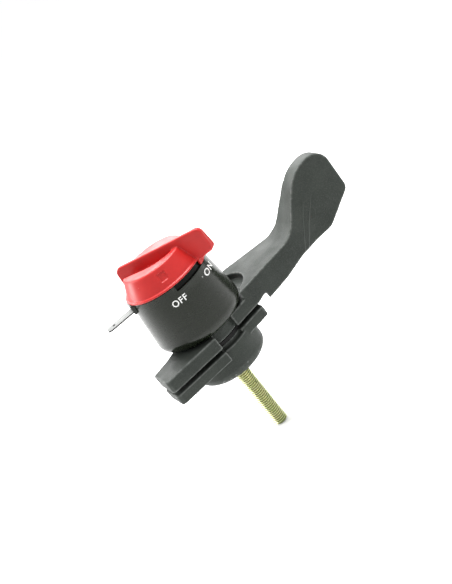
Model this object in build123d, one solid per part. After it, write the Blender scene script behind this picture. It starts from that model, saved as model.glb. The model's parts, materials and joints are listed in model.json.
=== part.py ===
from build123d import *
import os
from math import cos, hypot, radians, sin, sqrt

# Rotary switch on a swinging lever, in millimetres.
# +Z runs up the stud axis towards the knob, +X points along the lever and -Y is the side where
# the switch's legends sit. Heights below are taken from a datum SEAT under the boss's flat bottom
# face; the export drops every piece by SEAT, so the origin ends at the centre of that face.
SEAT = 3.5

# ---- stud and clamp stack ----
STUD_R = 4.0             # M8 thread, crest radius
THREAD_PITCH = 1.25
THREAD_DEPTH = 0.68
STUD_TIP = -38.0         # height of the stud's free end
CORE_R = 3.4             # thread root, where the nut sits on it
SHANK_R = 5.0            # plain shoulder that the lever turns on
SHANK_LOW = 16.2
HEX_AF = 13.0            # across flats of the bolt head and the nut
HEAD_H = 5.3
NUT_H = 6.5
NUT_Z = 4.5
WASHER_R = 8.0
WASHER_BORE = 4.3
WASHER_T = 1.6
DISC_SPRING_T = 0.8
DISC_SPRING_RISE = 0.5

# ---- base: boss and lower flange ----
BOSS_R = 20.4
BOSS_ROUND_R = 10.0       # the bottom edge is a quarter ellipse, this far across
BOSS_ROUND_H = 6.5        # and this high
BOSS_TOP = 21.6
FLANGE_LOW = 17.8
FLANGE_TOP = 23.4
HUB_R = 17.4
POCKET_R = 8.3           # clamp pocket in the underside of the boss
POCKET_TOP = 15.7
BORE_R = 5.1
WING_X = -37.7           # left wing: end face, near face and inner end
WING_Y = -24.9
WING_END_X = -4.6
RIGHT_WING_X = 26.9

# ---- lever ----
LEVER_LOW = 25.6
LEVER_TOP = 32.9
ROOT_TOP = 37.5
POCKET_WALL_R = 25.7     # clears the switch housing
NOTCH_R = 34.8           # web behind the notch swings round the lower flange on this radius
NOTCH_TOP = 26.7
BUSH_R = 7.0
BUSH_BORE = 5.05
LEVER_SWING = 90.0       # degrees, from rest towards -Y
STOP_R = 11.5            # pitch radius of the stop pin
STOP_PIN_R = 1.5
STOP_ANGLE = 135.0

# ---- switch housing ----
HOUSING_LOW = 33.0
HOUSING_RIM = 66.3
HOUSING_R_LOW = 25.2
HOUSING_R_TOP = 22.15
HOUSING_ROUND = 5.2
WALL = 2.4
FLOOR_TOP = 36.4
SLOT_LOW = 63.0
SLOT_FLOOR_R = 21.3
SHROUD_X = 23.7          # small hood round the blade's window
SHROUD_W = 8.4
SHROUD_LOW = 60.8
SLOT_SPARE = 0.4         # degrees left free at each end of the slot
KNOB_TRAVEL = 50.0       # degrees, from ON at rest to OFF
LUG_FROM = -50.0         # lug under the knob's lip, at rest
LUG_TO = -26.0

# ---- switch works; their own X axis runs from the blade to the earth contact ----
SWITCH_TURN = -6.0
BLADE_W = 6.3
BLADE_T = 0.8
BLADE_Z = 62.0
BLADE_TIP = 39.4
BLADE_GAP = 0.15
BLADE_ROOT = 18.8
POST_R = 16.0            # pitch radius of the two screw posts
CARRIER_LOW = 45.5
CARRIER_TOP = 51.0
CARRIER_R = 20.2
CONTACT_X = 10.0
TIP_R = 2.0
TIP_H = 0.8
CONTACT_GAP = 0.02
BRIDGE_LOW = 53.2
BRIDGE_T = 1.0
PLUNGER_TRAVEL = 2.0
PLUNGER_R = 4.6
HEAD_TOP = 55.4
FOLLOWER_R = 1.4
FOLLOWER_AT = 7.5
FOLLOWER_Z = 56.2
ROTOR_LOW = 59.8
ROTOR_TOP = 62.2
ROTOR_R = 12.5
SPINDLE_R = 5.0
SPINDLE_FLAT = 4.2
SPINDLE_TOP = 70.9
COVER_LOW = 62.4
COVER_TOP = 65.2
COVER_R = 19.3
DETENT_AT = 10.5
DETENT_BALL_R = 1.25
DETENT_BALL_Z = 62.85
DETENT_ANGLES = (45.0, 225.0)

# ---- knob ----
KNOB_LOW = 66.5
LIP_R = 23.1
LIP_TOP = 67.6
SKIRT_R = 22.0
CREST_R = 17.4
CREST_TOP = 77.3
CHANNEL_LOW = 72.0       # floor of the two finger hollows
CHANNEL_WALL = [(-16.0, -8.2), (-8.0, -8.7), (0.4, -9.4), (4.3, -9.1), (8.0, -7.9), (11.3, -5.9),
                (14.2, -2.2)]
CHANNEL_ROUND = 2.4
FAR_CHANNEL_SHIFT = 1.5  # the hollow on the far side is this much narrower
CAVITY_R = 19.4          # hollow under the knob: rim radius, roof radius, hub radius and roof height
CAVITY_ROOF_R = 17.2
KNOB_HUB_R = 7.5
CAVITY_TOP = 70.4
ROTOR_SCREW_R = 1.25
ROTOR_SCREW_TOP = 73.4
PAD_ANGLE = -104.0       # shallow square recess in the skirt
PAD_W = 4.0
PAD_LOW = 70.6
PAD_TOP = 74.8
PAD_DEPTH = 0.6
BAR_TOP = 80.7
BAR_FOOT = 61.5
BAR_T = 6.2              # thickness at the foot of the bar and along its top
BAR_TOP_T = 2.6
BAR_TAIL = -21.3
BAR_NOSE = 32.9
NOSE_LOW = 67.5
BAR_RIM = 0.8
BAR_ANGLE = -43.8

RUN = 0.06               # radial clearance of the running fits
MID = Align.CENTER
LOW = Align.MIN


# ---------- helpers ----------
def polar(radius, angle):
    return radius * cos(radians(angle)), radius * sin(radians(angle))


def disc(radius, low, high, at=(0.0, 0.0)):
    return Pos(at[0], at[1], low) * Cylinder(radius, high - low, align=(MID, MID, LOW))


def ring(outer, inner, low, high, at=(0.0, 0.0)):
    return disc(outer, low, high, at) - disc(inner, low - 1, high + 1, at)


def block(x0, x1, y0, y1, z0, z1):
    return Pos(x0, y0, z0) * Box(x1 - x0, y1 - y0, z1 - z0, align=(LOW, LOW, LOW))


def plate(points, low, high):
    outline = make_face(Polyline(*points, close=True))
    return extrude(Pos(0, 0, low) * outline, high - low, dir=(0, 0, 1))


def side_slab(points, y0, y1):
    """Solid with an (x, z) outline, standing between two planes across Y."""
    outline = make_face(Polyline(*[(x, y0, z) for x, z in points], close=True))
    return extrude(outline, y1 - y0, dir=(0, 1, 0))


def turned(points):
    """Solid of revolution about Z from a closed (radius, z) outline."""
    outline = make_face(Polyline(*[(r, 0, z) for r, z in points], close=True))
    return revolve(outline, Axis.Z)


def sector(outer, inner, start, stop, low, high):
    """Ring sector between two angles, in degrees."""
    reach = outer * 1.6
    steps = 6
    angles = [start + (stop - start) * i / steps for i in range(steps + 1)]
    points = [(0, 0)] + [polar(reach, a) for a in angles]
    return ring(outer, inner, low, high) & plate(points, low, high)


def hex_prism(across_flats, low, high):
    return extrude(Pos(0, 0, low) * RegularPolygon(across_flats / 2, 6, major_radius=False), high - low)


def coil(radius, wire_r, low, high, turns, at=(0.0, 0.0)):
    """Compression spring between two heights, measured over the wire."""
    height = high - low - 2 * wire_r
    path = Pos(at[0], at[1], low + wire_r) * Helix(height / turns, height, radius)
    section = Plane(origin=path @ 0, z_dir=path % 0) * Circle(wire_r)
    return sweep(section, path)


def works(shape):
    """Turns a piece drawn on the switch's own X axis into the part's frame."""
    return Rot(0, 0, SWITCH_TURN) * shape


# ---------- stud and clamp stack ----------
def stud_thread_points():
    """Outer (radius, z) outline of the threaded end, from the tip upwards."""
    points = [(STUD_R - 1.0, STUD_TIP), (STUD_R, STUD_TIP + 1.0)]
    root = STUD_R - THREAD_DEPTH
    turns = int((SEAT - STUD_TIP - 2.0) / THREAD_PITCH)
    for turn in range(turns):
        start = STUD_TIP + 1.4 + turn * THREAD_PITCH
        points += [(STUD_R, start), (root, start + 0.45), (root, start + 0.6), (STUD_R, start + 1.05)]
    return points + [(STUD_R, SEAT)]


def stud():
    head_low = FLOOR_TOP + BLADE_T
    points = [(0, STUD_TIP)] + stud_thread_points()
    points += [(CORE_R, SEAT), (CORE_R, SHANK_LOW), (SHANK_R, SHANK_LOW)]
    points += [(SHANK_R, head_low), (0, head_low)]
    head = hex_prism(HEX_AF, head_low, head_low + HEAD_H)
    crown = turned([(0, head_low - 1), (8.4, head_low - 1), (8.4, head_low + HEAD_H - 0.6),
                    (6.6, head_low + HEAD_H), (0, head_low + HEAD_H)])
    return turned(points) + works(head & crown)


def clamp_nut():
    body = hex_prism(HEX_AF, NUT_Z, NUT_Z + NUT_H)
    crown = turned([(0, NUT_Z), (6.5, NUT_Z), (8.4, NUT_Z + 0.7), (8.4, NUT_Z + NUT_H - 0.7),
                    (6.5, NUT_Z + NUT_H), (0, NUT_Z + NUT_H)])
    return (body & crown) - disc(CORE_R, NUT_Z - 1, NUT_Z + NUT_H + 1)


def nut_washer():
    low = NUT_Z + NUT_H
    return ring(WASHER_R, WASHER_BORE, low, low + WASHER_T)


def disc_springs():
    """Two conical spring washers, back to back."""
    low = NUT_Z + NUT_H + WASHER_T
    cone = turned([(WASHER_BORE, low + DISC_SPRING_RISE), (WASHER_R, low),
                   (WASHER_R, low + DISC_SPRING_T),
                   (WASHER_BORE, low + DISC_SPRING_RISE + DISC_SPRING_T)])
    middle = low + DISC_SPRING_RISE + DISC_SPRING_T
    other = mirror(cone, Plane(origin=(0, 0, middle + 0.01), z_dir=(0, 0, 1)))
    return [cone, other]


# ---------- base ----------
def left_wing(low, high):
    """Wing on the left of both flanges; its far edge sweeps in to the hub."""
    points = [(WING_END_X, -10.0), (WING_END_X, WING_Y), (WING_X, WING_Y), (WING_X, -7.2),
              (-32.5, -5.7), (-27.5, -4.2), (-22.5, -1.5), (-18.0, 3.0), (-10.0, 5.0)]
    return plate(points, low, high)


def lever_near_y(x):
    """Near side plane of the lever and of the right wing."""
    return -18.9 + 0.193 * x


def right_wing(low, high):
    near = lever_near_y(RIGHT_WING_X)
    points = [(9.7, -10.0), (9.7, lever_near_y(9.7)), (RIGHT_WING_X, near),
              (RIGHT_WING_X, -near), (9.7, 17.0)]
    return plate(points, low, high)


def boss():
    """Round boss with a flat seat and an elliptically rounded bottom edge."""
    centre = (BOSS_R - BOSS_ROUND_R, SEAT + BOSS_ROUND_H)
    edge = EllipticalCenterArc(centre, BOSS_ROUND_R, BOSS_ROUND_H, start_angle=270, arc_size=90)
    rest = Polyline(edge @ 1, (BOSS_R, BOSS_TOP), (0, BOSS_TOP), (0, SEAT), edge @ 0)
    return revolve(Plane.XZ * make_face([edge, rest]), Axis.Z)


def base_flange():
    wings = left_wing(FLANGE_LOW, FLANGE_TOP) + right_wing(FLANGE_LOW, FLANGE_TOP)
    corners = wings.edges().filter_by(Axis.Z).filter_by(lambda e: hypot(e.center().X, e.center().Y) > 28)
    wings = fillet(corners, 2.2)
    body = boss() + wings + disc(HUB_R, BOSS_TOP - 1, FLANGE_TOP)
    body -= disc(POCKET_R, SEAT - 1, POCKET_TOP)
    body -= disc(BORE_R, 0, FLANGE_TOP + 1)
    body -= disc(STOP_PIN_R, FLANGE_LOW, FLANGE_TOP + 1, polar(STOP_R, STOP_ANGLE))
    return body


def stop_pin():
    pin = disc(STOP_PIN_R, FLANGE_LOW, 28.8, polar(STOP_R, STOP_ANGLE))
    return chamfer(pin.edges().group_by(Axis.Z)[-1], 0.4)


def thrust_washer():
    return ring(9.5, BORE_R, FLANGE_TOP, LEVER_LOW - 0.1)


def seal_ring():
    body = ring(16.8, 14.6, FLANGE_TOP, LEVER_LOW - 0.1)
    return fillet(body.edges().group_by(Axis.Z)[-1], 0.6)


# ---------- lever ----------
def lever_plan():
    """Outline of the lever and its paddle seen from above."""
    return [(5.0, -10.0), (9.7, -10.0), (9.7, lever_near_y(9.7)), (66.0, lever_near_y(66.0)),
            (74.0, -4.6), (104.5, -4.6), (104.5, 5.2), (81.0, 6.2), (62.0, 14.6),
            (32.0, 22.8), (22.0, 24.0), (12.0, 20.4), (5.0, 10.0)]


def handle_side():
    """Side outline of the arm and the upturned paddle."""
    return [(5.0, NOTCH_TOP), (24.0, NOTCH_TOP), (24.0, 22.7), (46.9, 23.2), (61.0, 25.2),
            (84.0, 25.2), (103.2, 35.9), (103.5, 62.8), (83.8, 62.8), (62.2, ROOT_TOP), (5.0, ROOT_TOP)]


def handle():
    slab = side_slab(handle_side(), -40, 40)
    rounded = {(84.0, 25.2): 9.0, (103.2, 35.9): 4.0, (103.5, 62.8): 9.0, (83.8, 62.8): 20.0,
               (62.2, ROOT_TOP): 15.0}
    for (x, z), radius in rounded.items():
        near = slab.edges().filter_by(Axis.Y).sort_by_distance((x, 0, z))
        slab = fillet(near[0], radius)
    plan = plate(lever_plan(), 20, 64)
    return (slab & plan) - disc(NOTCH_R, 20, NOTCH_TOP)


def lever_root():
    high = ROOT_TOP - 2
    side = [(0, LEVER_LOW), (26.7, LEVER_LOW), (31.6, NOTCH_TOP), (31.6, high), (0, high)]
    return side_slab(side, -40, 40) & plate(lever_plan(), 20, 64)


def lever():
    arm = handle() + lever_root()
    arm -= disc(POCKET_WALL_R, LEVER_TOP, 60)
    arm -= disc(16.6, LEVER_TOP + 0.6, 60, (15.2, 4.6))
    wing = left_wing(LEVER_LOW, LEVER_TOP)
    corners = wing.edges().filter_by(Axis.Z).filter_by(lambda e: hypot(e.center().X, e.center().Y) > 36)
    body = arm + fillet(corners, 1.6) + disc(HUB_R, LEVER_LOW, LEVER_TOP)
    body -= disc(BUSH_R, LEVER_LOW - 1, LEVER_TOP + 1)
    body -= disc(12.0, LEVER_TOP - 1.0, LEVER_TOP + 1)
    body -= stop_groove()
    return body


def stop_groove():
    """Arc in the lever's underside that rides over the stop pin."""
    half = STOP_PIN_R + 0.15
    arc = sector(STOP_R + half, STOP_R - half, STOP_ANGLE, STOP_ANGLE + LEVER_SWING, LEVER_LOW - 1, 29.4)
    for angle in (STOP_ANGLE, STOP_ANGLE + LEVER_SWING):
        arc += disc(half, LEVER_LOW - 1, 29.4, polar(STOP_R, angle))
    return arc


def lever_bush():
    return ring(BUSH_R, BUSH_BORE, LEVER_LOW, LEVER_TOP - 1.0)


def housing_washer():
    return ring(11.5, BORE_R, LEVER_TOP - 0.95, HOUSING_LOW - 0.03)


# ---------- housing ----------
def housing_radius(z):
    """Outer radius of the tapered wall at a height."""
    run = (z - HOUSING_LOW) / (HOUSING_RIM - HOUSING_LOW)
    return HOUSING_R_LOW + (HOUSING_R_TOP - HOUSING_R_LOW) * run


def screw_spots():
    """The two screw axes, on the switch's own Y axis."""
    return [(0.0, POST_R), (0.0, -POST_R)]


def housing_shell():
    outer = turned([(0, HOUSING_LOW), (HOUSING_R_LOW, HOUSING_LOW), (HOUSING_R_TOP, HOUSING_RIM),
                    (0, HOUSING_RIM)])
    outer = fillet(outer.edges().group_by(Axis.Z)[0], HOUSING_ROUND)
    outer = fillet(outer.edges().group_by(Axis.Z)[-1], 0.5)
    inner = turned([(0, FLOOR_TOP), (housing_radius(FLOOR_TOP) - WALL, FLOOR_TOP),
                    (HOUSING_R_TOP - WALL, HOUSING_RIM + 1), (0, HOUSING_RIM + 1)])
    inner = fillet(inner.edges().group_by(Axis.Z)[0], 3.4)
    return outer, inner


def housing():
    outer, inner = housing_shell()
    shroud = block(-SHROUD_X, -SHROUD_X + 3.7, -SHROUD_W / 2, SHROUD_W / 2, SHROUD_LOW, HOUSING_RIM - 0.1)
    shroud = fillet(shroud.edges().filter_by(Axis.X), 0.8)
    body = (outer + works(shroud)) - inner
    for x, y in screw_spots():
        post = disc(3.0, FLOOR_TOP - 0.5, CARRIER_LOW, (x, y)) - disc(1.5, 38.0, 50.0, (x, y))
        body += works(post)
    for side in (-1, 1):
        rib = block(-5.0, 5.0, -1.0, 1.0, FLOOR_TOP - 0.5, FLOOR_TOP + 5.0)
        body += works(Pos(0, side * (HEX_AF / 2 + 1.1), 0) * rib)
    body -= disc(BORE_R, HOUSING_LOW - 1, FLOOR_TOP + 1)
    start, stop = LUG_FROM - KNOB_TRAVEL - SLOT_SPARE, LUG_TO + SLOT_SPARE
    body -= sector(30.0, SLOT_FLOOR_R, start, stop, SLOT_LOW, HOUSING_RIM + 1)
    half = BLADE_W / 2 + BLADE_GAP
    window = block(-26.0, -18.0, -half, half, BLADE_Z - BLADE_GAP, BLADE_Z + BLADE_T + BLADE_GAP)
    return body - works(window)


# ---------- contacts ----------
def blade_terminal():
    """Flat push-on blade outside, stepped down to a contact arm inside."""
    half = BLADE_W / 2
    root = -BLADE_ROOT
    tongue = plate([(-BLADE_TIP, -half + 1.2), (-BLADE_TIP + 2.0, -half), (root, -half), (root, half),
                    (-BLADE_TIP + 2.0, half), (-BLADE_TIP, half - 1.2)], BLADE_Z, BLADE_Z + BLADE_T)
    tongue -= disc(0.85, BLADE_Z - 1, BLADE_Z + 2, (-BLADE_TIP + 4.2, 0))
    leg = block(root - BLADE_T, root, -half + 0.2, half - 0.2, CARRIER_TOP, BLADE_Z + BLADE_T)
    reach = -CONTACT_X + TIP_R
    arm = block(root - BLADE_T, reach, -half + 0.2, half - 0.2, CARRIER_TOP, CARRIER_TOP + BLADE_T)
    return works(tongue + leg + arm)


def earth_strap():
    """Strap from under the bolt head, up the wall of the cup and over the carrier."""
    low = FLOOR_TOP
    eye = ring(6.4, BORE_R, low, low + BLADE_T)
    foot = block(5.9, 14.2, -3.0, 3.0, low, low + BLADE_T)
    leg = block(13.4, 14.2, -3.0, 3.0, low, CARRIER_TOP + BLADE_T)
    arm = block(CONTACT_X - TIP_R, 14.2, -3.0, 3.0, CARRIER_TOP, CARRIER_TOP + BLADE_T)
    return works(eye + foot + leg + arm)


def contact_tips(low, high):
    return [works(disc(TIP_R, low, high, (x, 0))) for x in (-CONTACT_X, CONTACT_X)]


def fixed_contact_tips():
    low = CARRIER_TOP + BLADE_T
    return contact_tips(low, low + TIP_H)


def moving_contact_tips():
    low = CARRIER_TOP + BLADE_T + TIP_H + CONTACT_GAP
    return contact_tips(low, BRIDGE_LOW)


def contact_carrier():
    body = disc(CARRIER_R, CARRIER_LOW, CARRIER_TOP)
    body -= disc(7.0, 47.5, CARRIER_TOP + 1)
    body -= disc(PLUNGER_R + RUN, CARRIER_LOW - 1, CARRIER_TOP + 1)
    body -= block(-5.4, 5.4, -1.1, 1.1, CARRIER_LOW - 1, CARRIER_TOP + 1)
    body -= block(13.2, 14.4, -3.1, 3.1, CARRIER_LOW - 1, CARRIER_TOP + 1)
    for spot in screw_spots():
        body -= disc(1.6, CARRIER_LOW - 1, CARRIER_TOP + 1, spot)
    return works(body)


# ---------- plunger and bridge ----------
def plunger():
    head_low = BRIDGE_LOW + BRIDGE_T
    body = disc(PLUNGER_R, 43.8, head_low + 0.5) + disc(9.0, head_low, HEAD_TOP)
    body += block(-5.2, 5.2, -1.0, 1.0, 43.8, BRIDGE_LOW - 0.05)
    for side in (-1, 1):
        at = (0, side * FOLLOWER_AT)
        body += disc(FOLLOWER_R, HEAD_TOP - 0.5, FOLLOWER_Z, at)
        body += Pos(at[0], at[1], FOLLOWER_Z) * Sphere(FOLLOWER_R)
    for spot in rivet_spots():
        body -= disc(0.8, head_low - 1, HEAD_TOP + 1, spot)
    return works(body)


def rivet_spots():
    return [polar(5.6, 45.0), polar(5.6, 225.0)]


def contact_bridge():
    high = BRIDGE_LOW + BRIDGE_T
    body = block(-13.0, 13.0, -3.2, 3.2, BRIDGE_LOW, high) + disc(7.4, BRIDGE_LOW, high)
    body -= disc(PLUNGER_R, BRIDGE_LOW - 1, high + 1)
    for spot in rivet_spots():
        body -= disc(0.8, BRIDGE_LOW - 1, high + 1, spot)
    return works(body)


def bridge_rivets():
    return [works(disc(0.8, BRIDGE_LOW, HEAD_TOP, spot)) for spot in rivet_spots()]


def return_spring():
    return coil(6.2, 0.4, 47.55, BRIDGE_LOW - 0.05, 3.5)


# ---------- rotor and cover ----------
def ramp():
    """Cam ramp that drives a follower down as the rotor turns to ON, seen along +Y."""
    reach = FOLLOWER_AT * sin(radians(KNOB_TRAVEL / 2))
    slope = PLUNGER_TRAVEL / (2 * reach)
    middle = FOLLOWER_Z + PLUNGER_TRAVEL / 2 + (FOLLOWER_R + 0.05) * sqrt(1 + slope * slope)
    low = middle - slope * reach
    stop = (ROTOR_LOW - middle) / slope
    high = ROTOR_LOW + 0.3
    points = [(-5.0, high), (-5.0, low), (-reach, low), (stop, ROTOR_LOW), (stop, high)]
    return side_slab([(-x, z) for x, z in points], FOLLOWER_AT - 1.6, FOLLOWER_AT + 1.6)


def rotor():
    body = disc(ROTOR_R, ROTOR_LOW, ROTOR_TOP) + disc(SPINDLE_R, ROTOR_LOW, SPINDLE_TOP)
    for side in (0, 180):
        body += Rot(0, 0, side + KNOB_TRAVEL / 2) * ramp()
    body = works(body)
    body -= spindle_flats(SPINDLE_FLAT, KNOB_LOW - 0.1)
    body -= disc(1.6, ROTOR_LOW - 1, SPINDLE_TOP + 1)
    body -= disc(3.1, ROTOR_LOW - 3, 62.0)
    for angle in DETENT_ANGLES:
        body -= works(detent_groove(angle))
    return body


def spindle_flats(flat, low):
    """Material beside the two driving flats of the spindle."""
    cheek = block(-8.0, 8.0, flat, flat + 5.0, low, SPINDLE_TOP + 5)
    return Rot(0, 0, BAR_ANGLE) * (cheek + mirror(cheek, Plane.XZ))


def detent_groove(angle):
    """Arc groove under one ball, with a deeper pocket at each end of the travel."""
    start = polar(DETENT_AT, angle)
    path = Pos(0, 0, DETENT_BALL_Z) * CenterArc((0, 0), DETENT_AT, angle, KNOB_TRAVEL)
    groove = sweep(Plane(origin=path @ 0, z_dir=path % 0) * Circle(DETENT_BALL_R + 0.05), path)
    for at in (start, polar(DETENT_AT, angle + KNOB_TRAVEL)):
        groove += Pos(at[0], at[1], DETENT_BALL_Z - 0.25) * Sphere(DETENT_BALL_R + 0.05)
    return groove


def detent_balls():
    spots = [polar(DETENT_AT, angle) for angle in DETENT_ANGLES]
    return [works(Pos(x, y, DETENT_BALL_Z) * Sphere(DETENT_BALL_R)) for x, y in spots]


def detent_springs():
    low = DETENT_BALL_Z + DETENT_BALL_R + 0.05
    spots = [polar(DETENT_AT, angle) for angle in DETENT_ANGLES]
    return [works(coil(0.85, 0.2, low, 68.5, 5, spot)) for spot in spots]


def top_cover():
    body = disc(COVER_R, COVER_LOW, COVER_TOP)
    for spot in screw_spots():
        body += disc(2.9, CARRIER_TOP, COVER_LOW + 0.5, spot)
        body -= disc(1.6, CARRIER_TOP - 1, COVER_TOP + 1, spot)
        body -= disc(2.9, COVER_TOP - 1.8, COVER_TOP + 1, spot)
    for angle in DETENT_ANGLES:
        spot = polar(DETENT_AT, angle)
        body += disc(2.2, COVER_TOP - 0.5, 69.4, spot)
        body -= disc(1.32, COVER_LOW - 1, 68.6, spot)
    body -= disc(SPINDLE_R + RUN, COVER_LOW - 1, COVER_TOP + 1)
    body -= disc(7.3, 63.6, COVER_TOP + 1)
    body -= block(-25.0, -18.2, -3.6, 3.6, COVER_LOW - 1, COVER_TOP + 1)
    return works(body)


def spindle_seal():
    return Pos(0, 0, 64.6) * Torus(6.2, 0.95)


def cover_screws():
    screws = []
    for x, y in screw_spots():
        head = disc(2.75, COVER_TOP - 1.8, COVER_TOP - 0.1, (x, y))
        head -= block(x - 3, x + 3, y - 0.4, y + 0.4, COVER_TOP - 0.8, COVER_TOP + 1)
        screws.append(works(head + disc(1.5, 38.6, COVER_TOP - 1.8, (x, y))))
    return screws


# ---------- knob ----------
def bar_section():
    """The bar's drafted cross-section as a long prism."""
    foot, rim = BAR_T / 2, BAR_TOP_T / 2
    half = [(foot, BAR_FOOT), (rim, BAR_TOP)]
    return Rot(0, 0, 90) * side_slab(half + [(-y, z) for y, z in reversed(half)], -45, 45)


def knob_bar():
    """Grip bar across the knob; its nose overhangs the lip and points at the legend."""
    tail = -SKIRT_R + 0.2
    side = [(BAR_TAIL, BAR_TOP), (tail, LIP_TOP + 0.4), (tail, LIP_TOP - 0.8), (-tail, LIP_TOP - 0.8),
            (LIP_R + 0.9, KNOB_LOW - 0.6), (BAR_NOSE + 0.3, NOSE_LOW), (BAR_NOSE, BAR_TOP)]
    bar = side_slab(side, -BAR_T, BAR_T)
    rounded = {(BAR_TAIL, BAR_TOP): 3.6, (BAR_NOSE + 0.3, NOSE_LOW): 2.0, (BAR_NOSE, BAR_TOP): 3.2}
    for (x, z), radius in rounded.items():
        near = bar.edges().filter_by(Axis.Y).sort_by_distance((x, 0, z))
        bar = fillet(near[0], radius)
    bar &= bar_section()
    return fillet(bar.edges().filter_by(is_top_rim), BAR_RIM)


def is_top_rim(edge):
    """True for the edges that run round the top and the nose of the bar."""
    middle = edge @ 0.5
    outer = abs(middle.Y) > 0.1 and middle.Z > CREST_TOP - 1.5
    return outer and abs((edge % 0.5).Y) < 0.5


def knob_skirt():
    body = turned([(0, KNOB_LOW), (LIP_R, KNOB_LOW), (LIP_R, LIP_TOP), (SKIRT_R, LIP_TOP),
                   (CREST_R, CREST_TOP), (0, CREST_TOP)])
    body = fillet(body.edges().group_by(Axis.Z)[-1], 1.4)
    circles = body.edges().filter_by(GeomType.CIRCLE)
    return fillet(circles.filter_by(lambda e: abs(e.radius - LIP_R) < 0.01), 0.4)


def channel():
    """Finger hollow on the near side of the bar: open at the tail, closing towards the nose."""
    wall = Spline(*CHANNEL_WALL)
    rest = Polyline(wall @ 1, (-27.0, -2.2), (-27.0, -8.2), wall @ 0)
    body = extrude(Pos(0, 0, CHANNEL_LOW) * make_face([wall, rest]), 14, dir=(0, 0, 1))
    floor_edges = body.edges().group_by(Axis.Z)[0].filter_by(lambda e: (e @ 0.5).X > -26.5)
    beside_bar = block(-27.0, 13.6, -2.3, -1.2, CHANNEL_LOW + CHANNEL_ROUND, BAR_TOP)
    return fillet(floor_edges, CHANNEL_ROUND) + beside_bar


def knob():
    body = knob_skirt()
    body -= Rot(0, 0, BAR_ANGLE) * channel()
    body -= Rot(0, 0, BAR_ANGLE + 180) * Pos(0, FAR_CHANNEL_SHIFT, 0) * channel()
    body += Rot(0, 0, BAR_ANGLE) * knob_bar()
    body -= turned([(KNOB_HUB_R, KNOB_LOW - 1), (CAVITY_R, KNOB_LOW - 1), (CAVITY_R, KNOB_LOW),
                    (CAVITY_ROOF_R, CAVITY_TOP), (KNOB_HUB_R, CAVITY_TOP)])
    body -= disc(SPINDLE_R, KNOB_LOW - 1, SPINDLE_TOP + 0.1) - spindle_flats(SPINDLE_FLAT, KNOB_LOW - 2)
    body -= disc(ROTOR_SCREW_R, SPINDLE_TOP, ROTOR_SCREW_TOP + 0.4)
    body += sector(LIP_R - 0.2, SLOT_FLOOR_R + 0.25, LUG_FROM, LUG_TO, SLOT_LOW + 0.3, KNOB_LOW + 0.3)
    pad = block(0, LIP_R, -PAD_W / 2, PAD_W / 2, PAD_LOW, PAD_TOP)
    return body - (Rot(0, 0, PAD_ANGLE) * pad & skirt_skin())


def skirt_skin():
    """Thin outer layer of the skirt's cone, PAD_DEPTH thick and open outwards."""
    lean = (SKIRT_R - CREST_R) / (CREST_TOP - LIP_TOP)
    low, high = LIP_TOP, CREST_TOP - 2
    inner = [(SKIRT_R - PAD_DEPTH, low), (SKIRT_R - PAD_DEPTH - lean * (high - low), high)]
    outer = [(r + 2, z) for r, z in reversed(inner)]
    return turned(inner + outer)


def rotor_screw():
    head = disc(2.8, 60.0, 62.0) - hex_prism(2.5, 59.0, 61.2)
    return head + disc(ROTOR_SCREW_R, 62.0, ROTOR_SCREW_TOP)


# ---------- export ----------
PIECES = {
    "base_flange": base_flange,
    "stud": stud,
    "clamp_nut": clamp_nut,
    "nut_washer": nut_washer,
    "disc_springs": disc_springs,
    "stop_pin": stop_pin,
    "thrust_washer": thrust_washer,
    "seal_ring": seal_ring,
    "lever": lever,
    "lever_bush": lever_bush,
    "housing_washer": housing_washer,
    "housing": housing,
    "blade_terminal": blade_terminal,
    "earth_strap": earth_strap,
    "fixed_contact_tips": fixed_contact_tips,
    "contact_carrier": contact_carrier,
    "plunger": plunger,
    "contact_bridge": contact_bridge,
    "moving_contact_tips": moving_contact_tips,
    "bridge_rivets": bridge_rivets,
    "return_spring": return_spring,
    "rotor": rotor,
    "rotor_screw": rotor_screw,
    "top_cover": top_cover,
    "cover_screws": cover_screws,
    "spindle_seal": spindle_seal,
    "detent_balls": detent_balls,
    "detent_springs": detent_springs,
    "knob": knob,
}

os.makedirs("parts", exist_ok=True)
for name, build in PIECES.items():
    made = build()
    solids = [Pos(0, 0, -SEAT) * solid for solid in (made if isinstance(made, list) else made.solids())]
    export_step(Compound(children=solids) if len(solids) > 1 else solids[0], f"parts/{name}.step")
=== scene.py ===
import json
from math import cos, pi, radians, sin

import bmesh
import bpy
from mathutils import Matrix, Vector


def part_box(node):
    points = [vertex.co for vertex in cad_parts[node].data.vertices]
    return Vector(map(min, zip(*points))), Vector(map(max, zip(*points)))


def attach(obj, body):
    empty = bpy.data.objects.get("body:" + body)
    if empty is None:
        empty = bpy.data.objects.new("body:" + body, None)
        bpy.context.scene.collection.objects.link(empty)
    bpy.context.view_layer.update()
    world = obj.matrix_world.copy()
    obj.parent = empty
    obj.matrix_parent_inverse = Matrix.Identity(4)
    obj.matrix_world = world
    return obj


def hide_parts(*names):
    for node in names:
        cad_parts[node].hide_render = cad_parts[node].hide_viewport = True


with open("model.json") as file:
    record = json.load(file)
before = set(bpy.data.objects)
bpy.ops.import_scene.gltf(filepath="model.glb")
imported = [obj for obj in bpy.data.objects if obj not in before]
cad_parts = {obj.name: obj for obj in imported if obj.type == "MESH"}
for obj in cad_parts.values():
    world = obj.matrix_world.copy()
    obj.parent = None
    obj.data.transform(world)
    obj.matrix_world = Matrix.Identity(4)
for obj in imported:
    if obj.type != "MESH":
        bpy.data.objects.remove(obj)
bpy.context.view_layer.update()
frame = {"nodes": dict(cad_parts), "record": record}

MM = 0.001

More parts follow.
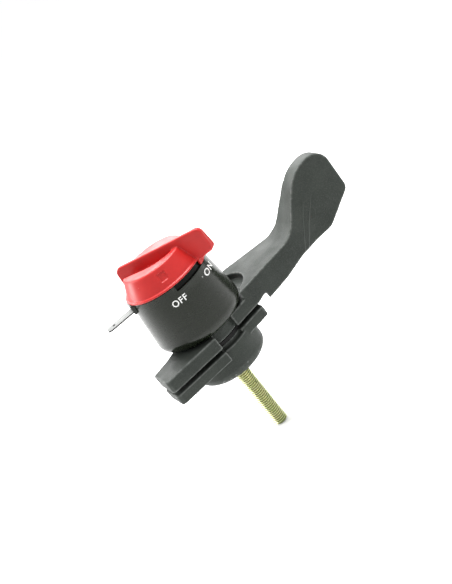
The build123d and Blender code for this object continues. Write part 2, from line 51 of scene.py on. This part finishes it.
# ---- stud: M8 thread under the boss, plain core and shank, hexagon head ----
STUD_TIP, HEAD_HIGH = (corner.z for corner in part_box("stud"))
THREAD_PITCH = 1.25 * MM
THREAD_R = 4.0 * MM
THREAD_ROOT_R = 3.32 * MM
CREST_HALF = 1 / 16             # half of the crest's flat, in pitches
FLANK = 3 / 8                   # length of a flank along the axis, in pitches
RUN_OUT = 0.8 * THREAD_PITCH
TIP_CHAMFER = 1.0 * MM
CORE_R = 3.4 * MM
SHANK_R = 5.0 * MM
SHANK_LOW = 12.7 * MM
SHANK_CHAMFER = 0.4 * MM
HEAD_LOW = 33.7 * MM
HEAD_CHAMFER = 0.6 * MM
HEAD_TOP_SCALE = 0.93
HEX_AF = 13.0 * MM
HEAD_TURN = radians(-6.0)
STUD_STEPS = 56                 # points round the stud
STEPS_PER_PITCH = 16            # rings along one pitch

# ---- housing: its tapered wall without the roundings, and the slot in its rim ----
HOUSING_LOW, HOUSING_RIM = (corner.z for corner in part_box("housing"))
HOUSING_LOW_R = 25.2 * MM
HOUSING_RIM_R = 22.15 * MM
SLOT_FLOOR_R = 21.3 * MM
SLOT_LOW = 59.5 * MM

# ---- legends on the housing: angles in degrees round the stud's axis ----
LEGEND_Z = 54.95 * MM
LETTER_HEIGHT = 3.3 * MM
CAP_SHARE = 0.72                # a capital's height over the font's size
LETTER_SPACING = 1.12
LETTER_SWELL = 0.06 * MM
LETTER_HALF_DEPTH = 0.02 * MM
LETTER_WELD = 0.001 * MM
LONG_EDGE = 0.5 * MM            # longer edges of a letter are cut up before it is bent
INK_LIFT = 0.03 * MM
OFF_ANGLE = -105.6
ON_ANGLE = -44.6
ON_WIDEN = 1.4
DOT_ANGLE = -63.0
DOT_RISE = 0.8 * MM
DOT_R = 0.45 * MM
DOT_STEPS = 20

# ---- fine raised lines on the paddle's near face ----
CREASES = ((46.9 * MM, 0.743, 0.6 * MM), (46.7 * MM, 0.882, 0.8 * MM))      # foot in x, lean, half width
CREASE_START = (19 * MM, 23 * MM)
CREASE_END = (34 * MM, 45 * MM)
PADDLE_FACE_Y = (-3.8 * MM, -3.2 * MM)

# ---- stage ----
FLOOR_HALF = 4.0
FLOOR_GAP = 0.2 * MM
FLOOR_GLOW = 0.26
WORLD_STRENGTH = 0.80

# ---- camera: angles in degrees, distance in metres, lens in millimetres ----
VIEW_AZIMUTH = -12.0
VIEW_ELEVATION = 21.7
VIEW_ROLL = -38.3
VIEW_DISTANCE = 0.700
VIEW_LENS = 85.0
VIEW_TARGET = Vector((19.2 * MM, 0.0, 33.2 * MM))


# ---------- node material helpers ----------
class Paint:
    """A procedural material under construction; its methods add nodes and return output sockets."""

    def __init__(self, name, **principled):
        self.material = bpy.data.materials.new(name)
        self.material.use_nodes = True
        self.tree = self.material.node_tree
        self.shader = self.tree.nodes["Principled BSDF"]
        self.coords = self.tree.nodes.new("ShaderNodeTexCoord").outputs["Object"]
        self.set(**principled)

    def node(self, kind, inputs=None, **settings):
        made = self.tree.nodes.new(kind)
        for key, value in settings.items():
            setattr(made, key, value)
        for key, value in (inputs or {}).items():
            self.plug(made.inputs[key], value)
        return made

    def plug(self, socket, value):
        if isinstance(value, bpy.types.NodeSocket):
            self.tree.links.new(value, socket)
        else:
            lacks_alpha = socket.type == "RGBA" and len(value) == 3
            socket.default_value = (*value, 1.0) if lacks_alpha else value

    def set(self, **sockets):
        for key, value in sockets.items():
            self.plug(self.shader.inputs[key.replace("_", " ")], value)

    def noise(self, scale, detail=3.0, rough=0.5, stretch=(1, 1, 1), distortion=0.0):
        """Cloudy noise, scale in cycles per metre, drawn out along an axis where stretch is below 1."""
        stretched = self.node("ShaderNodeMapping", {"Vector": self.coords, "Scale": stretch}).outputs[0]
        inputs = {"Vector": stretched, "Scale": scale, "Detail": detail, "Roughness": rough,
                  "Distortion": distortion}
        return self.node("ShaderNodeTexNoise", inputs).outputs["Fac"]

    def cells(self, scale):
        """Distance from the nearest of many scattered points."""
        return self.node("ShaderNodeTexVoronoi", {"Vector": self.coords, "Scale": scale}).outputs["Distance"]

    def ramp(self, value, *stops):
        """Colour picked by a value; stops are (value, colour)."""
        made = self.node("ShaderNodeValToRGB", {"Fac": value})
        elements = made.color_ramp.elements
        while len(elements) < len(stops):
            elements.new(0.5)
        for element, (position, colour) in zip(elements, stops):
            element.position = position
            element.color = (*colour, 1.0)
        return made.outputs["Color"]

    def levels(self, value, low, high, out_low=0.0, out_high=1.0):
        """Takes low..high to out_low..out_high in a straight line, held beyond both ends."""
        inputs = {"Value": value, "From Min": low, "From Max": high, "To Min": out_low, "To Max": out_high}
        return self.node("ShaderNodeMapRange", inputs).outputs["Result"]

    def math(self, operation, a, b=0.5):
        made = self.node("ShaderNodeMath", operation=operation)
        self.plug(made.inputs[0], a)
        self.plug(made.inputs[1], b)
        return made.outputs[0]

    def mix(self, factor, a, b):
        """Colour a where the factor is 0, b where it is 1; the Mix node's colour sockets go by number."""
        made = self.node("ShaderNodeMix", data_type="RGBA")
        self.plug(made.inputs[0], factor)
        self.plug(made.inputs[6], a)
        self.plug(made.inputs[7], b)
        return made.outputs[2]

    def axes(self, vector):
        """The X, Y and Z of a vector socket."""
        return self.node("ShaderNodeSeparateXYZ", {"Vector": vector}).outputs

    def radius(self):
        """Distance from the stud's axis."""
        flat = self.node("ShaderNodeVectorMath", {0: self.coords, 1: (1.0, 1.0, 0.0)}, operation="MULTIPLY")
        return self.node("ShaderNodeVectorMath", {0: flat.outputs[0]}, operation="LENGTH").outputs["Value"]

    def edge_wear_and_highlight(self, amount, low=0.505, high=0.55):
        """Share of edge wear and painted highlight: up to amount along the convex edges, broken up by noise.
        """
        pointy = self.node("ShaderNodeNewGeometry").outputs["Pointiness"]
        broken = self.levels(self.noise(420, 4, 0.6), 0.35, 0.65, 0.35, 1.0)
        return self.math("MULTIPLY", self.levels(pointy, low, high, 0.0, amount), broken)

    def bump(self, *layers):
        """Layers are (height socket, depth in metres, strength), stacked."""
        for height, distance, strength in layers:
            inputs = {"Height": height, "Distance": distance, "Strength": strength}
            if self.shader.inputs["Normal"].is_linked:
                inputs["Normal"] = self.shader.inputs["Normal"].links[0].from_socket
            self.set(Normal=self.node("ShaderNodeBump", inputs).outputs["Normal"])


# ---------- materials ----------
def crease(p, foot, lean, half):
    """Height of a fine raised line on the near face of the paddle, leaning outwards as it rises."""
    at = p.axes(p.coords)
    off = p.math("SUBTRACT", p.math("SUBTRACT", at["X"], p.math("MULTIPLY", at["Z"], lean)), foot)
    line = p.levels(p.math("ABSOLUTE", off), 0.0, half, 1.0, 0.0)
    lower = p.levels(at["Z"], *CREASE_START)
    upper = p.levels(at["Z"], *CREASE_END, 1.0, 0.0)
    near = p.levels(at["Y"], *PADDLE_FACE_Y, 1.0, 0.0)
    return p.math("MULTIPLY", p.math("MULTIPLY", line, near), p.math("MULTIPLY", lower, upper))


def grained_plastic(name, creased):
    """Dark grey plastic from a spark-eroded mould, with the paddle's fine raised lines if creased."""
    p = Paint(name, IOR=1.46, Specular_IOR_Level=0.22)
    grain = p.noise(2300, 3, 0.65)
    pits = p.cells(1300)
    cloud = p.noise(45, 4, 0.55)
    base = p.ramp(cloud, (0.35, (0.0225, 0.0275, 0.023)), (0.68, (0.034, 0.0405, 0.034)))
    flow = p.noise(120, 5, 0.6, (0.3, 1, 1), 0.4)
    base = p.mix(p.levels(flow, 0.52, 0.75, 0.0, 0.40), base, (0.046, 0.051, 0.047))
    base = p.mix(p.levels(grain, 0.48, 0.72, 0.0, 0.55), base, (0.066, 0.072, 0.066))
    base = p.mix(p.levels(pits, 0.0, 0.22, 0.45, 0.0), base, (0.008, 0.009, 0.008))
    scuffs = p.noise(85, 6, 0.7, (1, 7, 1), 0.6)
    base = p.mix(p.levels(scuffs, 0.62, 0.72, 0.0, 0.30), base, (0.075, 0.080, 0.076))
    # convex edges painted lighter: wear and painted highlight
    base = p.mix(p.edge_wear_and_highlight(0.85, 0.503, 0.53), base, (0.15, 0.16, 0.15))
    rough = p.levels(p.noise(110, 4), 0.3, 0.7, 0.42, 0.60)
    if creased:
        lines = p.math("MAXIMUM", *(crease(p, *measures) for measures in CREASES))
        base = p.mix(p.math("MULTIPLY", lines, 0.45), base, (0.085, 0.095, 0.088))
        p.bump((lines, 0.0004, 0.6))
    p.set(Base_Color=base, Roughness=rough)
    p.bump((cloud, 0.00025, 0.25), (pits, 0.00007, 0.35), (grain, 0.00009, 0.45))
    return p.material


def gloss_black_plastic():
    """Glossy black with specks of dust, and painted shade on the slot floor behind the knob's lug: darker and
    less glossy there.
    """
    gloss, slot_shade_gloss = 0.42, 0.10
    p = Paint("gloss_black_plastic", IOR=1.48)
    cloud = p.noise(38, 4)
    base = p.ramp(cloud, (0.3, (0.0050, 0.0080, 0.0030)), (0.7, (0.0095, 0.0130, 0.0065)))
    dust = p.noise(900, 2, 0.5)
    base = p.mix(p.levels(dust, 0.66, 0.78, 0.0, 0.30), base, (0.055, 0.058, 0.052))
    # convex edges painted lighter: wear and painted highlight
    base = p.mix(p.edge_wear_and_highlight(0.4), base, (0.06, 0.065, 0.058))
    wipe = p.noise(60, 5, 0.65, (1, 1, 7))
    # painted shade: the slot floor under the knob's lip is darkened and its reflection dimmed
    inwards = p.levels(p.radius(), SLOT_FLOOR_R + 0.1 * MM, SLOT_FLOOR_R + 0.5 * MM, 1.0, 0.0)
    above = p.levels(p.axes(p.coords)["Z"], SLOT_LOW - 0.1 * MM, SLOT_LOW + 0.1 * MM)
    slot_shade = p.math("MULTIPLY", inwards, above)
    base = p.mix(slot_shade, base, (0.0022, 0.0030, 0.0018))
    p.set(Base_Color=base, Roughness=p.levels(wipe, 0.3, 0.75, 0.16, 0.34))
    p.set(Specular_IOR_Level=p.levels(slot_shade, 0.0, 1.0, gloss, slot_shade_gloss))
    p.bump((p.noise(28, 2), 0.0006, 0.12), (p.noise(420, 3), 0.00004, 0.15), (wipe, 0.00003, 0.15))
    return p.material


def red_plastic():
    """Red plastic that lets a little light in, paler along its edges from rubbing and painted highlight."""
    p = Paint("red_plastic", IOR=1.48, Specular_IOR_Level=0.42,
              Subsurface_Weight=0.05, Subsurface_Scale=0.0012, Subsurface_Radius=(1.0, 0.15, 0.1))
    cloud = p.noise(60, 4, 0.55)
    base = p.ramp(cloud, (0.3, (0.43, 0.013, 0.012)), (0.7, (0.55, 0.021, 0.018)))
    wear = p.noise(240, 5, 0.6, (1, 1, 0.4))
    base = p.mix(p.levels(wear, 0.60, 0.75, 0.0, 0.25), base, (0.26, 0.008, 0.010))
    # convex edges painted pale pink: painted highlight with some wear
    base = p.mix(p.edge_wear_and_highlight(0.45, 0.53, 0.58), base, (0.70, 0.20, 0.18))
    p.set(Base_Color=base, Roughness=p.levels(p.noise(130, 4), 0.3, 0.7, 0.30, 0.44))
    p.bump((p.noise(45, 2), 0.0004, 0.15), (p.noise(1700, 2), 0.00003, 0.10))
    return p.material


def yellow_zinc():
    """Yellow chromate over zinc: straw with green and pink drifts, painted dark brown shade in the thread
    roots, greener at a slant.
    """
    p = Paint("yellow_zinc", Metallic=1.0)
    drift = p.noise(150, 4, 0.6, (1, 1, 0.6), 0.8)
    base = p.ramp(drift, (0.25, (0.56, 0.66, 0.32)), (0.45, (0.80, 0.84, 0.46)),
                  (0.62, (0.88, 0.86, 0.52)), (0.8, (0.78, 0.62, 0.42)))
    # painted shade: the thread roots are darkened
    root_shade = p.levels(p.radius(), THREAD_ROOT_R + 0.1 * MM, THREAD_R - 0.12 * MM, 0.85, 0.0)
    base = p.mix(root_shade, base, (0.10, 0.085, 0.035))
    facing = p.node("ShaderNodeLayerWeight", {"Blend": 0.35}).outputs["Facing"]
    base = p.mix(p.levels(facing, 0.35, 0.9, 0.0, 0.55), base, (0.38, 0.70, 0.40))
    fine = p.noise(1500, 3, 0.6)
    base = p.mix(p.levels(fine, 0.5, 0.8, 0.0, 0.45), base, (0.32, 0.33, 0.13))
    p.set(Base_Color=base, Roughness=p.levels(p.noise(700, 4), 0.3, 0.7, 0.24, 0.44))
    p.bump((fine, 0.00002, 0.3))
    return p.material


def bright_metal(name, low, high, stretch=(1, 1, 1), rough=(0.18, 0.36), upright_shade=None):
    """Bare or plated metal with streaks along the rolling direction; upright_shade is painted shade on its
    upright edges.
    """
    p = Paint(name, Metallic=1.0)
    cloud = p.noise(180, 4, 0.6)
    base = p.ramp(cloud, (0.3, low), (0.7, high))
    streak = p.noise(900, 4, 0.6, stretch)
    base = p.mix(p.levels(streak, 0.45, 0.75, 0.0, 0.4), base, tuple(0.55 * c for c in low))
    # convex edges painted lighter: wear and painted highlight
    base = p.mix(p.edge_wear_and_highlight(0.6), base, tuple(min(1.0, 1.1 * c) for c in high))
    # painted shade: upright faces, the sheet's edges, are darkened
    if upright_shade:
        facing = p.node("ShaderNodeNewGeometry").outputs["True Normal"]
        upward = p.math("ABSOLUTE", p.axes(facing)["Z"])
        base = p.mix(p.levels(upward, 0.4, 0.8, 1.0, 0.0), base, upright_shade)
    p.set(Base_Color=base, Roughness=p.levels(streak, 0.3, 0.7, *rough))
    p.bump((streak, 0.00002, 0.25))
    return p.material


def soft_plastic(name, low, high, rough=0.42):
    """Plain plastic of the inner parts, mottled between two colours."""
    p = Paint(name, IOR=1.48, Subsurface_Weight=0.05, Subsurface_Scale=0.001)
    base = p.ramp(p.noise(120, 4), (0.3, low), (0.7, high))
    base = p.mix(p.levels(p.noise(1400, 2), 0.64, 0.8, 0.0, 0.35), base, tuple(0.6 * c for c in low))
    p.set(Base_Color=base, Roughness=p.levels(p.noise(300, 3), 0.3, 0.7, rough - 0.08, rough + 0.1))
    p.bump((p.noise(1200, 3), 0.00004, 0.25))
    return p.material


def black_rubber():
    """Black rubber with a grey bloom."""
    p = Paint("black_rubber", IOR=1.5, Specular_IOR_Level=0.3)
    base = p.ramp(p.noise(150, 4), (0.3, (0.005, 0.005, 0.005)), (0.7, (0.012, 0.012, 0.0115)))
    bloom = p.noise(60, 5, 0.6)
    base = p.mix(p.levels(bloom, 0.55, 0.8, 0.0, 0.35), base, (0.030, 0.030, 0.029))
    p.set(Base_Color=base, Roughness=p.levels(bloom, 0.3, 0.7, 0.55, 0.78))
    p.bump((p.noise(1100, 3), 0.00006, 0.35))
    return p.material


def print_ink(name, worn_colour, colour):
    """Printed ink, thin in spots."""
    p = Paint(name, IOR=1.5)
    worn = p.noise(1800, 4, 0.7)
    p.set(Base_Color=p.ramp(worn, (0.28, worn_colour), (0.45, colour)))
    p.set(Roughness=p.levels(p.noise(600, 3), 0.3, 0.7, 0.35, 0.55))
    p.bump((worn, 0.00002, 0.3))
    return p.material


def paint_nodes():
    """Gives every CAD node the material of its slot, and returns the materials by slot."""
    finishes = {
        "lever_plastic": grained_plastic("grained_plastic", False),
        "housing_plastic": gloss_black_plastic(),
        "knob_plastic": red_plastic(),
        "yellow_zinc": yellow_zinc(),
        "spring_steel": bright_metal("spring_steel", (0.42, 0.43, 0.44), (0.60, 0.61, 0.62),
                                     (1, 1, 0.2)),
        "bearing_plastic": soft_plastic("bearing_plastic", (0.66, 0.63, 0.55), (0.78, 0.76, 0.69)),
        "carrier_plastic": soft_plastic("carrier_plastic", (0.13, 0.055, 0.025), (0.22, 0.10, 0.05),
                                        0.5),
        "seal_rubber": black_rubber(),
        # tinned brass: its last colour is painted shade on the blade's upright edges
        "tinned_brass": bright_metal("tinned_brass", (0.13, 0.134, 0.13), (0.18, 0.184, 0.18),
                                     (0.12, 1, 1), (0.38, 0.55), (0.06, 0.062, 0.06)),
        "contact_copper": bright_metal("contact_copper", (0.60, 0.26, 0.15), (0.80, 0.42, 0.28),
                                       (0.15, 1, 1)),
        "contact_silver": bright_metal("contact_silver", (0.70, 0.70, 0.68), (0.88, 0.88, 0.86)),
    }
    for row in frame["record"]["subparts"]:
        mesh = frame["nodes"][row["node"]].data
        mesh.materials.clear()
        mesh.materials.append(finishes[row["material_slot"]])
    return finishes


# ---------- shapes ----------
def place(name, mesh, material, body):
    """Puts a finished mesh in the scene, riding on a body."""
    made = bpy.data.objects.new(name, mesh)
    bpy.context.scene.collection.objects.link(made)
    mesh.materials.clear()
    mesh.materials.append(material)
    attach(made, body)
    return made


def mesh_from(bm, name):
    """Finishes a bmesh as a mesh with its faces turned outwards."""
    mesh = bpy.data.meshes.new(name)
    bmesh.ops.recalc_face_normals(bm, faces=bm.faces)
    bm.to_mesh(mesh)
    bm.free()
    return mesh


def evaluated_mesh(made):
    """Mesh of an object with its modifiers or text worked out; the object itself is removed."""
    bpy.context.scene.collection.objects.link(made)
    mesh = bpy.data.meshes.new_from_object(made.evaluated_get(bpy.context.evaluated_depsgraph_get()))
    bpy.data.objects.remove(made)
    return mesh


def moulded(node, name, body, slot, finishes, voxel, rounds):
    """A node's own shape with the soft edges of a moulding, standing for the node."""
    work = bpy.data.objects.new(name + "_work", frame["nodes"][node].data.copy())
    remesh = work.modifiers.new("remesh", "REMESH")
    remesh.mode = "VOXEL"
    remesh.voxel_size = voxel
    smooth = work.modifiers.new("smooth", "SMOOTH")
    smooth.factor = 0.5
    smooth.iterations = rounds
    shape = evaluated_mesh(work)
    shape.shade_smooth()
    made = place(name, shape, finishes[slot], body)
    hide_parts(node)
    return made


def circle(bm, radius, z, steps):
    """Ring of points; radius is a function of the share of a turn."""
    ring = []
    for k in range(steps):
        r, angle = radius(k / steps), 2 * pi * k / steps
        ring.append(bm.verts.new((r * cos(angle), r * sin(angle), z)))
    return ring


def stack(bm, rows):
    """Walls between rings of equal size, closed at both ends."""
    for lower, upper in zip(rows, rows[1:]):
        for k, vert in enumerate(lower):
            after = (k + 1) % len(lower)
            bm.faces.new((vert, lower[after], upper[after], upper[k]))
    bm.faces.new(rows[0])
    bm.faces.new(rows[-1])


def thread_radius(z, turn):
    """Radius of a right-hand metric thread with a chamfered tip and a run-out under the boss."""
    phase = (z / THREAD_PITCH - turn) % 1.0
    depth = min(1.0, max(0.0, (abs(phase - 0.5) - CREST_HALF) / FLANK))
    run_out = min(1.0, max(0.0, -z / RUN_OUT))
    chamfer = THREAD_R - TIP_CHAMFER + (z - STUD_TIP)
    return min(THREAD_R - (THREAD_R - THREAD_ROOT_R) * depth * run_out, chamfer)


def build_stud(finishes):
    """Threaded stud with its shoulder and hexagon head, standing for the CAD's ringed stud."""
    bm = bmesh.new()
    count = int(-STUD_TIP / THREAD_PITCH * STEPS_PER_PITCH)
    heights = [STUD_TIP * (1 - i / count) for i in range(count + 1)]
    rows = [circle(bm, lambda turn, z=z: thread_radius(z, turn), z, STUD_STEPS) for z in heights]
    profile = [(CORE_R, 0.0), (CORE_R, SHANK_LOW), (SHANK_R - SHANK_CHAMFER, SHANK_LOW),
               (SHANK_R, SHANK_LOW + SHANK_CHAMFER), (SHANK_R, HEAD_LOW)]
    rows += [circle(bm, lambda turn, r=r: r, z, STUD_STEPS) for r, z in profile]
    stack(bm, rows)
    corner_r = HEX_AF / 2 / cos(radians(30))
    hexagons = []
    for z, scale in ((HEAD_LOW, 1.0), (HEAD_HIGH - HEAD_CHAMFER, 1.0), (HEAD_HIGH, HEAD_TOP_SCALE)):
        angles = [HEAD_TURN + pi / 3 * k for k in range(6)]
        hexagons.append([bm.verts.new((corner_r * scale * cos(a), corner_r * scale * sin(a), z))
                         for a in angles])
    stack(bm, hexagons)
    mesh = mesh_from(bm, "threaded_stud")
    for polygon in mesh.polygons:
        polygon.use_smooth = abs(polygon.normal.z) < 0.9 and polygon.center.z < HEAD_LOW
    made = place("threaded_stud", mesh, finishes["yellow_zinc"], "base_body")
    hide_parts("stud")


# ---------- legends ----------
def on_wall(angle, z, lift):
    """Point on the housing's tapered wall, lifted off it."""
    share = (z - HOUSING_LOW) / (HOUSING_RIM - HOUSING_LOW)
    radius = HOUSING_LOW_R + (HOUSING_RIM_R - HOUSING_LOW_R) * share + lift
    return Vector((radius * cos(angle), radius * sin(angle), z))


def wrap(bm, angle, z, widen=1.0):
    """Lays flat artwork, drawn in x and y, round the wall."""
    wall_r = on_wall(0.0, z, 0.0).x
    for vert in bm.verts:
        turn = radians(angle) + vert.co.x * widen / wall_r
        vert.co = on_wall(turn, z + vert.co.y, INK_LIFT + vert.co.z)


def word(text, name, angle, widen, material):
    """A printed word: flat letters a few hundredths of a millimetre thick."""
    curve = bpy.data.curves.new(name, "FONT")
    curve.body = text
    curve.size = LETTER_HEIGHT / CAP_SHARE
    curve.align_x = "CENTER"
    curve.align_y = "CENTER"
    curve.space_character = LETTER_SPACING
    curve.offset = LETTER_SWELL
    curve.extrude = LETTER_HALF_DEPTH
    bm = bmesh.new()
    bm.from_mesh(evaluated_mesh(bpy.data.objects.new(name + "_text", curve)))
    bmesh.ops.remove_doubles(bm, verts=bm.verts, dist=LETTER_WELD)
    bmesh.ops.subdivide_edges(bm, edges=[e for e in bm.edges if e.calc_length() > LONG_EDGE], cuts=2)
    bmesh.ops.triangulate(bm, faces=bm.faces)
    wrap(bm, angle, LEGEND_Z, widen)
    place(name, mesh_from(bm, name), material, "base_body")


def index_dot(material):
    """Small grey dot printed between the two words."""
    bm = bmesh.new()
    face = bm.faces.new(circle(bm, lambda turn: DOT_R, 0.0, DOT_STEPS))
    lifted = bmesh.ops.extrude_face_region(bm, geom=[face])
    for vert in lifted["geom"]:
        if isinstance(vert, bmesh.types.BMVert):
            vert.co.z += INK_LIFT
    wrap(bm, DOT_ANGLE, LEGEND_Z + DOT_RISE)
    place("legend_dot", mesh_from(bm, "legend_dot"), material, "base_body")


def legends():
    """The two words and the dot between them."""
    white = print_ink("white_print", (0.55, 0.56, 0.54), (0.90, 0.91, 0.89))
    word("OFF", "legend_off", OFF_ANGLE, 1.0, white)
    word("ON", "legend_on", ON_ANGLE, ON_WIDEN, white)
    index_dot(print_ink("grey_print", (0.10, 0.10, 0.10), (0.26, 0.27, 0.26)))


# ---------- stage ----------
def floor():
    """Pale floor under the stud's tip, a little brighter where the camera sees it."""
    bm = bmesh.new()
    corners = ((-1, -1), (1, -1), (1, 1), (-1, 1))
    z = STUD_TIP - FLOOR_GAP
    bm.faces.new([bm.verts.new((FLOOR_HALF * x, FLOOR_HALF * y, z)) for x, y in corners])
    made = bpy.data.objects.new("floor", mesh_from(bm, "floor"))
    bpy.context.scene.collection.objects.link(made)
    p = Paint("pale_floor", Roughness=0.8, Specular_IOR_Level=0.2)
    p.set(Base_Color=p.ramp(p.noise(6, 3), (0.3, (0.90, 0.90, 0.90)), (0.7, (0.94, 0.94, 0.94))))
    seen = p.node("ShaderNodeLightPath").outputs["Is Camera Ray"]
    p.set(Emission_Color=(1.0, 1.0, 1.0), Emission_Strength=p.math("MULTIPLY", seen, FLOOR_GLOW))
    made.data.materials.append(p.material)


def softbox(name, spot, size, power):
    """Area light aimed at the object: size in metres, power in watts."""
    light = bpy.data.lights.new(name, "AREA")
    light.shape = "RECTANGLE"
    light.size, light.size_y = size
    light.energy = power
    made = bpy.data.objects.new(name, light)
    made.location = spot
    made.rotation_euler = (VIEW_TARGET - spot).to_track_quat("-Z", "Y").to_euler()
    bpy.context.scene.collection.objects.link(made)


def camera():
    """Camera at the photo's angle; returns its directions to the right, to the top and backwards."""
    azimuth, elevation, roll = (radians(angle) for angle in (VIEW_AZIMUTH, VIEW_ELEVATION, VIEW_ROLL))
    back = Vector((sin(azimuth) * cos(elevation), -cos(azimuth) * cos(elevation), sin(elevation)))
    level = Vector((cos(azimuth), sin(azimuth), 0.0))
    upright = back.cross(level)
    side = level * cos(roll) + upright * sin(roll)
    top = upright * cos(roll) - level * sin(roll)
    lens = bpy.data.cameras.new("camera")
    lens.lens = VIEW_LENS
    made = bpy.data.objects.new("camera", lens)
    made.matrix_world = Matrix((side, top, back)).transposed().to_4x4()
    made.location = VIEW_TARGET + back * VIEW_DISTANCE
    bpy.context.scene.collection.objects.link(made)
    bpy.context.scene.camera = made
    return side, top, back


def studio(side, top, back):
    """White surroundings and four soft lights, placed by the camera's directions."""
    world = bpy.data.worlds.new("studio")
    world.use_nodes = True
    background = world.node_tree.nodes["Background"]
    background.inputs["Color"].default_value = (1.0, 1.0, 1.0, 1.0)
    background.inputs["Strength"].default_value = WORLD_STRENGTH
    bpy.context.scene.world = world
    bpy.context.scene.view_settings.view_transform = "Standard"
    softbox("key", VIEW_TARGET + top * 0.55 - side * 0.30 + back * 0.10, (0.35, 0.35), 7.0)
    softbox("left_strip", VIEW_TARGET - side * 0.65 - top * 0.10 - back * 0.22, (0.15, 0.6), 3.2)
    behind = Vector((-back.x, -back.y, 0.0)).normalized()
    softbox("back_sheet", VIEW_TARGET + behind * 0.75 + Vector((0.0, 0.0, 0.32)), (0.9, 0.35), 5.0)
    softbox("right_strip", VIEW_TARGET + side * 0.6 + top * 0.2 - back * 0.25, (0.12, 0.5), 3.0)


finishes = paint_nodes()
lever = moulded("lever", "lever_moulding", "lever_body", "lever_plastic", finishes,
                voxel=0.40 * MM, rounds=12)
lever.data.materials[0] = grained_plastic("creased_plastic", True)
moulded("base_flange", "base_moulding", "base_body", "lever_plastic", finishes,
        voxel=0.35 * MM, rounds=5)
moulded("knob", "knob_moulding", "knob_body", "knob_plastic", finishes,
        voxel=0.22 * MM, rounds=9)
build_stud(finishes)
legends()
floor()
studio(*camera())
